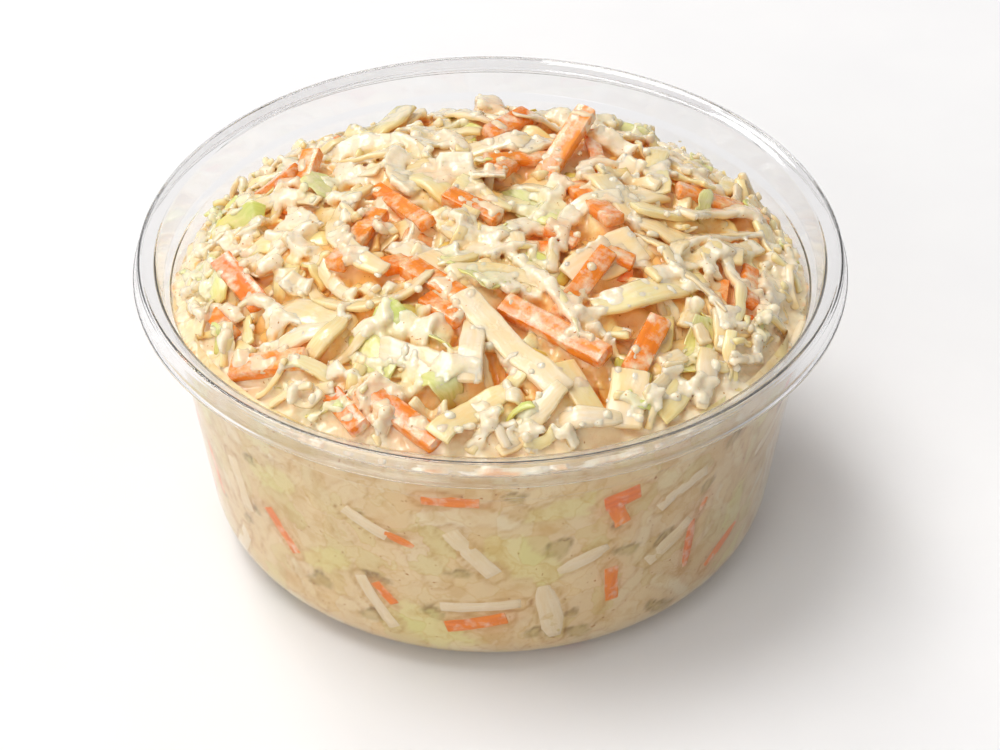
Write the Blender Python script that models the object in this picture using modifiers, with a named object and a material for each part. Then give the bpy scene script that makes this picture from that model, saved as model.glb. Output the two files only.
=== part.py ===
"""Coleslaw heaped in a round clear plastic deli cup.

Two solids: the thin turned cup, with its slanting lip, flared skirt, stacking ledge and
rounded heel, and the dressed salad that fills it and rises as a lumpy mound above the lip.
Lengths are in metres, +Z is up, and the origin is at the centre of the cup's underside.
"""

import math

import bmesh
import bpy
from mathutils import Vector, noise

MM = 0.001

# Cup
CUP_HEIGHT = 53.0 * MM
SHEET = 0.5 * MM
LIP_RADIUS = 55.4 * MM
LIP_DROP = 0.95 * MM
CREASE_RADIUS = 57.0 * MM
CREASE_DROP = 0.46 * MM
RIM_RADIUS = 58.5 * MM
RIM_ROUNDING = 0.8 * MM
SKIRT_RADIUS = 59.3 * MM
SKIRT_DROP = 4.1 * MM
SKIRT_STRAIGHT = 2.9 * MM
LEDGE_TOP_DROP = 5.3 * MM
LEDGE_TOP_RADIUS = 54.2 * MM
LEDGE_DROP = 6.4 * MM
BAND_DROP = 11.5 * MM
BAND_STEP = 0.25 * MM
WALL_DRAFT = math.radians(7.7)
HEEL_RADIUS = 9.3 * MM
FOOT_RADIUS = 39.2 * MM
FOOT_WIDTH = 3.6 * MM
RECESS = 0.9 * MM
SPOKES = 64
HEEL_STEPS = 6

# Salad
GAP = 0.3 * MM
MOUND_RISE = 6.2 * MM
MOUND_SHIFT_X = 1.0 * MM
MOUND_SHIFT_Y = 3.0 * MM
FRONT_DROP = 4.6 * MM
BACK_DROP = 12.5 * MM
SIDE_DROP = 8.6 * MM
FLANK_POWER = 3.5
LUMP_HEIGHT = 2.6 * MM
LUMP_SIZE = 8.5 * MM
LUMP_SEED = Vector((3.1, 7.7, 1.9))
TOP_RINGS = 17


def clear_scene():
    for item in list(bpy.data.objects):
        bpy.data.objects.remove(item, do_unlink=True)


def new_collection(name):
    group = bpy.data.collections.new(name)
    bpy.context.scene.collection.children.link(group)
    return group


def new_material(name, colour, roughness, transmission=0.0):
    """Principled material with one colour, not metallic."""
    material = bpy.data.materials.new(name)
    material.use_nodes = True
    shader = material.node_tree.nodes["Principled BSDF"]
    shader.inputs["Base Color"].default_value = (*colour, 1.0)
    shader.inputs["Roughness"].default_value = roughness
    shader.inputs["Metallic"].default_value = 0.0
    shader.inputs["Transmission Weight"].default_value = transmission
    return material


def clear_plastic():
    return new_material("clear_plastic", (0.93, 0.94, 0.94), 0.06, transmission=0.9)


def dressed_salad():
    return new_material("dressed_salad", (0.82, 0.66, 0.42), 0.4)


def heel_centre():
    return FOOT_RADIUS, HEEL_RADIUS


def heel_top():
    """Radius and height where the rounded heel meets the drafted wall, outside."""
    radius, height = heel_centre()
    return (
        radius + HEEL_RADIUS * math.cos(WALL_DRAFT),
        height - HEEL_RADIUS * math.sin(WALL_DRAFT),
    )


def wall_radius(height):
    """Inside radius of the drafted wall at a height above the heel."""
    radius, start = heel_top()
    return radius + (height - start) * math.tan(WALL_DRAFT) - SHEET


def heel_arc(steps):
    """Inside of the heel, from the foot up to the wall."""
    radius, height = heel_centre()
    inner = HEEL_RADIUS - SHEET
    low = -math.pi / 2
    high = -WALL_DRAFT
    points = []
    for step in range(steps + 1):
        angle = low + (high - low) * step / steps
        points.append((radius + inner * math.cos(angle), height + inner * math.sin(angle)))
    return points


def floor_profile():
    """Inside of the base, from the axis out to the foot."""
    foot_inner = FOOT_RADIUS - FOOT_WIDTH
    return [
        (0.0, SHEET + RECESS),
        (foot_inner - RECESS, SHEET + RECESS),
        (foot_inner, SHEET),
    ]


def wall_profile():
    """Inside of the wall above the heel, up to the top of the stacking ledge."""
    middle = 0.5 * (heel_top()[1] + CUP_HEIGHT - BAND_DROP)
    band = CUP_HEIGHT - BAND_DROP
    ledge = CUP_HEIGHT - LEDGE_DROP
    return [
        (wall_radius(middle), middle),
        (wall_radius(band), band),
        (wall_radius(band) + BAND_STEP, band + BAND_STEP),
        (wall_radius(ledge), ledge),
        (LEDGE_TOP_RADIUS, CUP_HEIGHT - LEDGE_TOP_DROP),
    ]


def rim_profile():
    """Lip, slanting top and flared skirt, inside to outside."""
    corner = (RIM_RADIUS - RIM_ROUNDING, CUP_HEIGHT - RIM_ROUNDING)
    points = [
        (LIP_RADIUS - 0.25 * MM, CUP_HEIGHT - LIP_DROP - 0.7 * MM),
        (LIP_RADIUS, CUP_HEIGHT - LIP_DROP),
        (CREASE_RADIUS, CUP_HEIGHT - CREASE_DROP),
    ]
    for angle in (90, 45, 0):
        turn = math.radians(angle)
        points.append(
            (
                corner[0] + RIM_ROUNDING * math.cos(turn),
                corner[1] + RIM_ROUNDING * math.sin(turn),
            )
        )
    points.append((RIM_RADIUS + 0.35 * MM, CUP_HEIGHT - SKIRT_STRAIGHT))
    points.append((SKIRT_RADIUS, CUP_HEIGHT - SKIRT_STRAIGHT - 0.5 * MM))
    points.append((SKIRT_RADIUS, CUP_HEIGHT - SKIRT_DROP))
    return points


def cup_profile():
    return floor_profile() + heel_arc(HEEL_STEPS) + wall_profile() + rim_profile()


def inside_radius(height):
    """Radius of the cup's inside at a height between the foot and the ledge's top."""
    points = heel_arc(HEEL_STEPS) + wall_profile()
    points.append((LIP_RADIUS - 0.25 * MM, CUP_HEIGHT - LIP_DROP - 0.7 * MM))
    for low, high in zip(points, points[1:]):
        if low[1] <= height <= high[1]:
            share = (height - low[1]) / (high[1] - low[1])
            return low[0] + share * (high[0] - low[0])
    return points[0][0]


def add_object(name, mesh, material, group):
    item = bpy.data.objects.new(name, mesh)
    item.data.materials.append(material)
    group.objects.link(item)
    return item


def build_cup(group):
    """Turned sheet: the inside face as a profile, revolved and thickened outwards."""
    form = bmesh.new()
    points = [form.verts.new((radius, 0.0, height)) for radius, height in cup_profile()]
    for low, high in zip(points, points[1:]):
        form.edges.new((low, high))
    mesh = bpy.data.meshes.new("cup")
    form.to_mesh(mesh)
    form.free()
    cup = add_object("cup", mesh, clear_plastic(), group)
    turn = cup.modifiers.new("turn", "SCREW")
    turn.axis = "Z"
    turn.steps = SPOKES
    turn.render_steps = SPOKES
    turn.use_merge_vertices = True
    turn.merge_threshold = 0.00005
    turn.use_smooth_shade = True
    sheet = cup.modifiers.new("sheet", "SOLIDIFY")
    sheet.thickness = SHEET
    sheet.offset = -1.0
    sheet.use_even_offset = True
    return cup


def lump(x, y, size):
    """Smooth noise between about -1 and 1 over the plan of the mound."""
    return noise.noise(Vector((x / size, y / size, 0.0)) + LUMP_SEED)


def ridge(x, y, size):
    """Noise folded into rounded ridges, as tangled strands leave them."""
    return 0.6 - 2.4 * abs(noise.noise(Vector((x / size, y / size, 5.0)) - LUMP_SEED))


def contact_drop(angle):
    """How far below the rim the salad meets the wall, lowest at the back."""
    toward_back = 0.5 + 0.5 * math.sin(angle)
    side = abs(math.cos(angle))
    drop = FRONT_DROP + (BACK_DROP - FRONT_DROP) * toward_back ** 1.6
    drop += (SIDE_DROP - 0.5 * (FRONT_DROP + BACK_DROP)) * side ** 3
    wave = lump(60 * MM * math.cos(angle), 60 * MM * math.sin(angle), 14 * MM)
    return drop + 1.0 * MM * wave


def mound_point(angle, share):
    """Point on the mound, from its crown at share 0 to the wall at share 1."""
    edge_height = CUP_HEIGHT - contact_drop(angle)
    edge_radius = inside_radius(edge_height) - GAP
    slide = 1.0 - share ** 2
    x = edge_radius * share * math.cos(angle) + MOUND_SHIFT_X * slide
    y = edge_radius * share * math.sin(angle) + MOUND_SHIFT_Y * slide
    crown = CUP_HEIGHT + MOUND_RISE
    height = edge_height + (crown - edge_height) * (1.0 - share ** FLANK_POWER)
    height -= 3.0 * MM * share ** 2 * (1.0 - share ** 2)
    fade = 1.0 - share ** 10
    height += fade * LUMP_HEIGHT * lump(x, y, LUMP_SIZE)
    height += fade * 0.6 * LUMP_HEIGHT * ridge(x, y, 0.8 * LUMP_SIZE)
    return Vector((x, y, height))


def side_heights(edge_height):
    """Heights of the rings down the wall, kept apart where the edge lies low."""
    middle = 0.5 * (heel_top()[1] + CUP_HEIGHT - BAND_DROP)
    fixed = [LEDGE_TOP_DROP, LEDGE_DROP, BAND_DROP - BAND_STEP, BAND_DROP]
    heights = []
    ceiling = edge_height
    for drop in fixed:
        ceiling = min(CUP_HEIGHT - drop, ceiling - 0.4 * MM)
        heights.append(ceiling)
    heights.append(middle)
    return heights


def salad_rings(angles):
    """Closed rings of points, from the crown over the mound, down the wall and under."""
    rings = []
    for ring in range(1, TOP_RINGS + 1):
        share = (ring / TOP_RINGS) ** 0.85
        rings.append([mound_point(angle, share) for angle in angles])
    columns = [side_heights(point.z) for point in rings[-1]]
    for level in range(len(columns[0])):
        ring = []
        for angle, column in zip(angles, columns):
            radius = inside_radius(column[level]) - GAP
            ring.append(Vector((radius * math.cos(angle), radius * math.sin(angle), column[level])))
        rings.append(ring)
    under = list(reversed(heel_arc(HEEL_STEPS))) + list(reversed(floor_profile()))[:-1]
    for radius, height in under:
        inset = max(radius - GAP, 0.0)
        rings.append([Vector((inset * math.cos(a), inset * math.sin(a), height + GAP)) for a in angles])
    return rings


def build_salad(group):
    """Lofted solid that fills the cup a hair's breadth inside its wall."""
    angles = [2.0 * math.pi * spoke / SPOKES for spoke in range(SPOKES)]
    rings = salad_rings(angles)
    form = bmesh.new()
    loops = [[form.verts.new(point) for point in ring] for ring in rings]
    crown = form.verts.new(mound_point(0.0, 0.0))
    under = form.verts.new((0.0, 0.0, rings[-1][0].z))
    for spoke in range(SPOKES):
        after = (spoke + 1) % SPOKES
        form.faces.new((crown, loops[0][spoke], loops[0][after]))
        form.faces.new((under, loops[-1][after], loops[-1][spoke]))
        for upper, lower in zip(loops, loops[1:]):
            form.faces.new((upper[spoke], lower[spoke], lower[after], upper[after]))
    mesh = bpy.data.meshes.new("coleslaw")
    form.to_mesh(mesh)
    form.free()
    mesh.shade_smooth()
    return add_object("coleslaw", mesh, dressed_salad(), group)


def main():
    clear_scene()
    group = new_collection("coleslaw_cup")
    build_cup(group)
    build_salad(group)


main()
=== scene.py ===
"""Coleslaw in a clear plastic deli cup.

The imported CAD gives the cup's section and the mound's outline. The cup is turned again with
rounded corners. The salad is laid shred by shred on a height map of the mound, and one
distance field round all the shreds gives the creamy dressing that coats them and fills the
gaps. At the wall and the floor, shreds lie flat in a painted lining that reaches just into
the plastic. All making is in millimetres.
"""

import math

import bpy
import numpy as np
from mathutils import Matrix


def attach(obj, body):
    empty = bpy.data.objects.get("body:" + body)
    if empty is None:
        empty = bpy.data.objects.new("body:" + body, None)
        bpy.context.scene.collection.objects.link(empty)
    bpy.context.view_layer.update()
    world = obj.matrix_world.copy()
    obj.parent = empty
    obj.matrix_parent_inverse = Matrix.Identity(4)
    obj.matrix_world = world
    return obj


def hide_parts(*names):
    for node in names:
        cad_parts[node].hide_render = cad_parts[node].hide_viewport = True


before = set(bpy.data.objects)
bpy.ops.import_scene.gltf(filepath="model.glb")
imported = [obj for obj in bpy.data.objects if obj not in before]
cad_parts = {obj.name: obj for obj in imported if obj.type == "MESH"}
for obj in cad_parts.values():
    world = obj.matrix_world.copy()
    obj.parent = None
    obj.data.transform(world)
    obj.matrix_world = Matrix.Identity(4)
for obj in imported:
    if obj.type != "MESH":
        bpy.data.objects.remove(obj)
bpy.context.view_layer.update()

import openvdb
from mathutils import Vector
from mathutils.bvhtree import BVHTree

MM = 0.001
VOXEL = 0.5
random = np.random.default_rng(2024)


# Camera, floor and light -------------------------------------------------------------------

CAMERA_ELEVATION = math.radians(37.76)
CAMERA_DISTANCE = 520 * MM
CAMERA_AIM = Vector((1.57, 0.0, 24.87)) * MM
CAMERA_LENS = 109.2


def add_aimed(name, data, place, aim):
    """An object for a camera's or lamp's data at a place, turned to look at its aim."""
    item = bpy.data.objects.new(name, data)
    item.location = place
    item.rotation_mode = "QUATERNION"
    item.rotation_quaternion = (aim - place).to_track_quat("-Z", "Y")
    bpy.context.scene.collection.objects.link(item)
    return item


def add_camera():
    back = Vector((0.0, -math.cos(CAMERA_ELEVATION), math.sin(CAMERA_ELEVATION)))
    data = bpy.data.cameras.new("camera")
    data.lens = CAMERA_LENS
    data.sensor_width = 36.0
    data.clip_start = 0.01
    data.clip_end = 20.0
    place = Vector((0.0, 0.0, CAMERA_AIM.z)) + back * CAMERA_DISTANCE
    bpy.context.scene.camera = add_aimed("camera", data, place, CAMERA_AIM)


def add_area(name, place, aim, size, power, colour):
    data = bpy.data.lights.new(name, "AREA")
    data.shape = "DISK"
    data.size = size
    data.energy = power
    data.color = colour
    add_aimed(name, data, Vector(place), Vector(aim))


def add_world():
    """Soft studio surround: bright overhead and to the left, dimmer low on the right."""
    world = bpy.data.worlds.new("studio")
    bpy.context.scene.world = world
    world.use_nodes = True
    net = world.node_tree
    net.nodes.clear()
    direction = add_node(net, "TexCoord", {}).outputs["Generated"]
    lean = add_node(net, "VectorMath", {0: direction, 1: (-0.55, -0.3, 0.45)}, operation="DOT_PRODUCT")
    stops = [(0.0, (0.36, 0.35, 0.34)), (0.7, (0.70, 0.70, 0.71))]
    background = add_node(net, "Background", {"Color": ramp_node(net, lean.outputs["Value"], stops)})
    add_node(net, "OutputWorld", {"Surface": background.outputs[0]})


def add_floor():
    bpy.ops.mesh.primitive_circle_add(vertices=96, radius=4.0, fill_type="NGON")
    floor = bpy.context.object
    floor.name = "floor"
    material, net, shader = new_material("floor_paper")
    grain = noise_node(net, 40.0, 3.0)
    tone = ramp_node(net, grain, [(0.3, (0.88, 0.878, 0.885)), (0.7, (0.90, 0.898, 0.90))])
    set_inputs(shader, {"Base Color": tone, "Roughness": 0.9, "Specular IOR Level": 0.1})
    floor.data.materials.append(material)


# Material helpers --------------------------------------------------------------------------

# Sockets of a Mix node when it mixes colours.
MIX_FACTOR, MIX_FIRST, MIX_SECOND, MIX_COLOUR = 0, 6, 7, 2
WHITE = (1.0, 1.0, 1.0)


def linear(red, green, blue):
    """Linear colour of an 8-bit display colour."""
    values = []
    for value in (red, green, blue):
        value /= 255.0
        values.append(value / 12.92 if value <= 0.04045 else ((value + 0.055) / 1.055) ** 2.4)
    return tuple(values)


def new_material(name):
    material = bpy.data.materials.new(name)
    material.use_nodes = True
    net = material.node_tree
    return material, net, net.nodes["Principled BSDF"]


def set_inputs(node, inputs):
    """Sets a node's inputs: a socket is linked, and a number or colour is stored."""
    for key, value in inputs.items():
        if hasattr(value, "is_output"):
            node.id_data.links.new(value, node.inputs[key])
        else:
            node.inputs[key].default_value = value


def add_node(net, kind, inputs, **settings):
    node = net.nodes.new("ShaderNode" + kind)
    for key, value in settings.items():
        setattr(node, key, value)
    set_inputs(node, inputs)
    return node


def object_coordinates(net):
    for node in net.nodes:
        if node.bl_idname == "ShaderNodeTexCoord":
            return node.outputs["Object"]
    return add_node(net, "TexCoord", {}).outputs["Object"]


def noise_node(net, scale, detail, vector=None, roughness=0.5):
    inputs = {"Scale": scale, "Detail": detail, "Roughness": roughness}
    inputs["Vector"] = vector or object_coordinates(net)
    return add_node(net, "TexNoise", inputs).outputs["Fac"]


def ramp_node(net, factor, stops):
    ramp = net.nodes.new("ShaderNodeValToRGB")
    elements = ramp.color_ramp.elements
    while len(elements) < len(stops):
        elements.new(0.5)
    for element, (position, colour) in zip(elements, stops):
        element.position = position
        element.color = (*colour, 1.0)
    net.links.new(factor, ramp.inputs[0])
    return ramp.outputs["Color"]


def mix_node(net, factor, first, second):
    """Mix of two colours, the second one constant, by a factor socket."""
    inputs = {MIX_FACTOR: factor, MIX_FIRST: first, MIX_SECOND: (*second, 1.0)}
    return add_node(net, "Mix", inputs, data_type="RGBA").outputs[MIX_COLOUR]


def multiply_node(net, first, second):
    inputs = {MIX_FACTOR: 1.0, MIX_FIRST: first, MIX_SECOND: second}
    return add_node(net, "Mix", inputs, data_type="RGBA", blend_type="MULTIPLY").outputs[MIX_COLOUR]


def math_node(net, operation, first, second, clamp=False):
    """One math operation on two values, each a socket or a constant."""
    inputs = {0: first, 1: second}
    return add_node(net, "Math", inputs, operation=operation, use_clamp=clamp).outputs[0]


def attribute_node(net, name):
    return add_node(net, "Attribute", {}, attribute_name=name)


def bump_node(net, height, strength, distance):
    inputs = {"Height": height, "Strength": strength, "Distance": distance}
    return add_node(net, "Bump", inputs).outputs["Normal"]


def set_wet(shader, roughness, scatter, radius, scale):
    """Moist food: soft light under the skin and a thin wet gloss."""
    inputs = {"Roughness": roughness, "IOR": 1.4, "Coat Weight": 0.7, "Coat Roughness": 0.12}
    inputs["Subsurface Weight"] = scatter
    inputs["Subsurface Radius"] = radius
    inputs["Subsurface Scale"] = scale
    set_inputs(shader, inputs)


def set_pressed(shader):
    """Food that lies against the plastic has no gloss of its own."""
    set_inputs(shader, {"Coat Weight": 0.0, "Specular IOR Level": 0.1})


# Mesh helpers ------------------------------------------------------------------------------


def add_mesh(name, points, faces, material, attributes=None, sharp=None):
    """A piece from points in millimetres, with named values on its points."""
    mesh = bpy.data.meshes.new(name)
    mesh.from_pydata((np.asarray(points) * MM).tolist(), [], faces)
    for key, values in (attributes or {}).items():
        values = np.asarray(values, np.float32)
        if values.ndim == 1:
            layer = mesh.attributes.new(key, "FLOAT", "POINT")
            layer.data.foreach_set("value", values)
        else:
            layer = mesh.attributes.new(key, "FLOAT_COLOR", "POINT")
            layer.data.foreach_set("color", values.ravel())
    mesh.materials.append(material)
    mesh.shade_smooth()
    if sharp is not None:
        mesh.set_sharp_from_angle(angle=math.radians(sharp))
    piece = bpy.data.objects.new(name, mesh)
    bpy.context.scene.collection.objects.link(piece)
    return piece


def add_salad_piece(name, points, faces, material, attributes, sharp=None):
    piece = add_mesh(name, points, faces, material, attributes, sharp)
    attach(piece, "root")
    return piece


# The cup -----------------------------------------------------------------------------------


def cup_section():
    """The CAD cup's section in the +X half plane, from the axis inside to the axis below."""
    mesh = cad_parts["cup"].data
    where = {}
    for vertex in mesh.vertices:
        x, y, z = vertex.co / MM
        if abs(y) < 1e-3 and x > 1.0:
            where[vertex.index] = (round(x, 3), round(z, 3))
    near = {}
    for edge in mesh.edges:
        first, second = (where.get(index) for index in edge.vertices)
        if first and second and first != second:
            near.setdefault(first, set()).add(second)
            near.setdefault(second, set()).add(first)
    ends = sorted((point for point in near if len(near[point]) == 1), key=lambda point: -point[1])
    chain = [ends[0]]
    while chain[-1] != ends[-1]:
        chain.append(next(point for point in near[chain[-1]] if point not in chain))
    return [(0.0, chain[0][1])] + chain + [(0.0, chain[-1][1])]


CUP_SPOKES = 200
CORNER_TRIM = 0.22  # how far a sharp corner's curve reaches along its sides
CORNER_STEPS = 3
GENTLE_BEND = math.radians(20)


def rounded(chain):
    """The chain with each corner replaced by a small curve, and gentle bends by a long one."""
    result = [chain[0]]
    for before, corner, after in zip(chain, chain[1:], chain[2:]):
        before, corner, after = (np.array(point) for point in (before, corner, after))
        back, on = before - corner, after - corner
        sides = [np.linalg.norm(side) for side in (back, on)]
        gentle = -(back @ on) / (sides[0] * sides[1]) > math.cos(GENTLE_BEND)
        reach = 0.49 * min(sides) if gentle else min(CORNER_TRIM, 0.45 * min(sides))
        start = corner + back / sides[0] * reach
        stop = corner + on / sides[1] * reach
        for step in range(CORNER_STEPS + 1):
            t = step / CORNER_STEPS
            point = (1 - t) ** 2 * start + 2 * t * (1 - t) * corner + t * t * stop
            result.append(tuple(point))
    result.append(chain[-1])
    return result


def turned(chain, steps):
    """Points and faces of a chain from axis to axis, turned about +Z."""
    angles = np.arange(steps) * 2 * math.pi / steps
    points = [(0.0, 0.0, chain[0][1])]
    for radius, height in chain[1:-1]:
        ring = np.stack([radius * np.cos(angles), radius * np.sin(angles)], 1)
        points.extend((x, y, height) for x, y in ring)
    points.append((0.0, 0.0, chain[-1][1]))
    faces = []
    last = len(points) - 1
    rings = len(chain) - 2
    for spoke in range(steps):
        after = (spoke + 1) % steps
        faces.append((0, 1 + spoke, 1 + after))
        for ring in range(rings - 1):
            low = 1 + ring * steps
            high = low + steps
            faces.append((low + spoke, high + spoke, high + after, low + after))
        low = 1 + (rings - 1) * steps
        faces.append((low + spoke, last, low + after))
    return points, faces


def plastic_material():
    """Clear plastic sheet with a faint milky haze that grows at a slant."""
    material, net, shader = new_material("clear_plastic")
    inputs = {"Base Color": (0.925, 0.927, 0.935, 1), "Roughness": 0.04, "IOR": 1.5}
    inputs["Specular IOR Level"] = 0.35
    inputs["Transmission Weight"] = 1.0
    inputs["Normal"] = bump_node(net, noise_node(net, 45.0, 2.0), 0.1, 0.0003)
    set_inputs(shader, inputs)
    haze = add_node(net, "BsdfDiffuse", {"Color": (0.9, 0.9, 0.92, 1)})
    slant = add_node(net, "LayerWeight", {"Blend": 0.25})
    amount = add_node(net, "MapRange", {"Value": slant.outputs["Facing"], "To Max": 0.10})
    milky = add_node(net, "MixShader", {0: amount.outputs[0], 1: shader.outputs[0], 2: haze.outputs[0]})
    clear = add_node(net, "BsdfTransparent", {"Color": (0.975, 0.975, 0.975, 1)})
    shadow = add_node(net, "LightPath", {}).outputs["Is Shadow Ray"]
    mix = add_node(net, "MixShader", {0: shadow, 1: milky.outputs[0], 2: clear.outputs[0]})
    set_inputs(net.nodes["Material Output"], {"Surface": mix.outputs[0]})
    return material


def make_cup(section):
    """The cup's clear sheet, which replaces the CAD cup."""
    points, faces = turned(rounded(section), CUP_SPOKES)
    cup = add_mesh("cup_sheet", points, faces, plastic_material())
    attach(cup, "root")
    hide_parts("cup")


# Space inside the cup ----------------------------------------------------------------------

LIP_HEIGHT = 52.0
WALL_START = 3  # the first point of the inside chain that belongs to the wall
REACH = 0.12  # how far the dressing reaches into the plastic sheet, so that no air gap shows
LOWEST = 0.2  # no shred goes lower than this, about halfway into the cup's floor
LOW, HIGH = np.array([-56.0, -56.0, -0.4]), np.array([56.0, 56.0, 66.0])
SHAPE = tuple(int(n) for n in np.ceil((HIGH - LOW) / VOXEL))
AXES = [LOW[k] + VOXEL * np.arange(SHAPE[k]) for k in range(3)]


def inside_chain(section):
    """Inside of the cup, from the middle of its floor to its lip."""
    chain = []
    for point in section:
        chain.append(point)
        if point[1] > LIP_HEIGHT:
            break
    return np.array(chain)


def chain_distance(chain, radius, height):
    """Distance in the section plane to the cup's inside, below zero in the salad's space.

    The chain's first points run out along the floor to the foot, and the rest up the wall.
    """
    best = np.full(radius.shape, 1e9)
    for start, stop in zip(chain, chain[1:]):
        along = stop - start
        share = ((radius - start[0]) * along[0] + (height - start[1]) * along[1]) / (along @ along)
        share = np.clip(share, 0, 1)
        gap = np.hypot(radius - start[0] - share * along[0], height - start[1] - share * along[1])
        best = np.minimum(best, gap)
    wall = np.interp(height, *chain[WALL_START:, ::-1].T)
    floor = np.interp(radius, *chain[: WALL_START + 1].T)
    within = (radius < wall) & (height > floor)
    return np.where(within, -best, best)


def cup_distance(chain):
    """The same distance over the whole grid."""
    step = 0.1
    fine = np.arange(0, 82, step)
    table = chain_distance(chain, *np.meshgrid(fine, AXES[2], indexing="ij"))
    radius = np.hypot(AXES[0][:, None], AXES[1][None, :]) / step
    low = radius.astype(int)
    share = (radius - low)[..., None].astype(np.float32)
    table = table.astype(np.float32)
    return table[low] * (1 - share) + table[low + 1] * share


def lattice_noise(points, size, seed):
    """Smooth noise from -1 to 1 at points, with lumps of a given size."""
    table = np.random.default_rng(seed).uniform(-1, 1, (32, 32, 32)).astype(np.float32)
    scaled = np.asarray(points) / size + 500.0
    cell = np.floor(scaled).astype(int)
    part = scaled - cell
    part = part * part * (3 - 2 * part)
    total = 0.0
    for corner in range(8):
        step = np.array([corner & 1, corner >> 1 & 1, corner >> 2 & 1])
        weight = np.prod(np.where(step, part, 1 - part), axis=-1)
        i, j, k = np.moveaxis((cell + step) % 32, -1, 0)
        total = total + weight * table[i, j, k]
    return total


def grid_noise(size, seed):
    """Smooth noise from -1 to 1 over the whole grid."""
    source = np.random.default_rng(seed)
    counts = [int(math.ceil(n * VOXEL / size)) + 2 for n in SHAPE]
    result = source.uniform(-1, 1, counts).astype(np.float32)
    for axis, count in enumerate(SHAPE):
        place = np.arange(count) * VOXEL / size
        cell = place.astype(int)
        part = place - cell
        part = (part * part * (3 - 2 * part)).astype(np.float32)
        part = part.reshape([-1 if k == axis else 1 for k in range(3)])
        result = np.take(result, cell, axis) * (1 - part) + np.take(result, cell + 1, axis) * part
    return result


# The dressing: cream where it lies high, then a warm and a deep painted shade where it lies lower and
# deepest, and what shows through the wall.
CREAM = linear(249, 232, 204)
WARM_SHADE = linear(250, 212, 140)
DEEP_SHADE = linear(246, 168, 56)
# Behind the wall the cream is darker and warmer than on top: partly the pressed dressing's own colour,
# partly painted shade.
WALL_CREAM = linear(235, 214, 173)
WALL_PAINTS = {
    "carrot": linear(238, 178, 118),
    "leaf": linear(238, 230, 178),
    "strip": linear(240, 226, 194),
    "rib": linear(240, 224, 190),
}
NEAR_CARROT = linear(248, 196, 146)
NEAR_LEAF = linear(240, 238, 188)


# Height map of the mound -------------------------------------------------------------------

STEP = 0.5
SPAN = 56.0
MOUND_RADIUS = 53.5
OUTSIDE_HEIGHT = 40.0
CORE_DEPTH = 6.5  # how far below the mound's outline the laying starts
RIM_DEPTH = 1.2  # the same along the wall
COUNT = int(2 * SPAN / STEP) + 1
PLAN = np.linspace(-SPAN, SPAN, COUNT)


def plan_index(x, y):
    """Cells of the height map at places in the plan."""
    i = np.clip(np.round((x + SPAN) / STEP).astype(int), 0, COUNT - 1)
    j = np.clip(np.round((y + SPAN) / STEP).astype(int), 0, COUNT - 1)
    return i, j


def blurred(field, width):
    """Gaussian blur of a plan map, width in cells."""
    reach = int(3 * width) + 1
    kernel = np.exp(-0.5 * (np.arange(-reach, reach + 1) / width) ** 2)
    kernel /= kernel.sum()
    padded = np.pad(field, reach, mode="edge")
    padded = np.apply_along_axis(np.convolve, 0, padded, kernel, mode="valid")
    return np.apply_along_axis(np.convolve, 1, padded, kernel, mode="valid")


def mound_map():
    """Height of the CAD mound over the plan, low outside it."""
    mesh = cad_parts["coleslaw"].data
    tree = BVHTree.FromPolygons(
        [vertex.co / MM for vertex in mesh.vertices],
        [tuple(face.vertices) for face in mesh.polygons],
    )
    coarse = np.arange(-SPAN, SPAN + 1, 2.0)
    heights = np.full((len(coarse), len(coarse)), np.nan)
    for i, x in enumerate(coarse):
        for j, y in enumerate(coarse):
            if math.hypot(x, y) < MOUND_RADIUS:
                hit = tree.ray_cast(Vector((x, y, 100.0)), Vector((0, 0, -1)))[0]
                if hit is not None:
                    heights[i, j] = hit.z
    known = ~np.isnan(heights)
    # Heights spread a few cells outwards, so that the map's edge stays level.
    for _ in range(4):
        filled = np.where(known, heights, 0.0)
        total = np.zeros_like(filled)
        weight = np.zeros_like(filled)
        for di in (-1, 0, 1):
            for dj in (-1, 0, 1):
                total += np.roll(filled, (di, dj), (0, 1))
                weight += np.roll(known.astype(float), (di, dj), (0, 1))
        grow = ~known & (weight > 0)
        heights[grow] = total[grow] / weight[grow]
        known |= grow
    heights[~known] = OUTSIDE_HEIGHT
    fine = np.array([np.interp(PLAN, coarse, row) for row in heights])
    fine = np.array([np.interp(PLAN, coarse, column) for column in fine.T]).T
    return blurred(fine, 3.0)


# Shreds ------------------------------------------------------------------------------------


class Shred:
    """A strip swept along points, with a frame, half widths and half thicknesses.

    coat is how thick the dressing is on it, square how sharp the corners of its section are,
    and cavity how deep each point lies among its neighbours, from 0 to 1.
    """

    def __init__(self, kind, points, normals, width, thickness, coat, square):
        self.kind = kind
        self.points = np.asarray(points, float)
        along = np.gradient(self.points, axis=0)
        self.along = along / np.linalg.norm(along, axis=1)[:, None]
        across = np.cross(normals, self.along)
        self.across = across / np.linalg.norm(across, axis=1)[:, None]
        self.normals = np.cross(self.along, self.across)
        self.width = np.asarray(width, float)
        self.thickness = np.asarray(thickness, float)
        self.coat = coat
        self.square = square
        self.seed = random.uniform(0, 1)
        self.cavity = np.zeros(len(self.points))
        # How much more painted shade its sides and underside get.
        self.shade = 0.0


def smooth_min(first, second, blend):
    """The smaller of two distances, with a soft fillet where they meet."""
    share = np.clip(0.5 + 0.5 * (second - first) / blend, 0, 1)
    return second * (1 - share) + first * share - blend * share * (1 - share)


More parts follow.
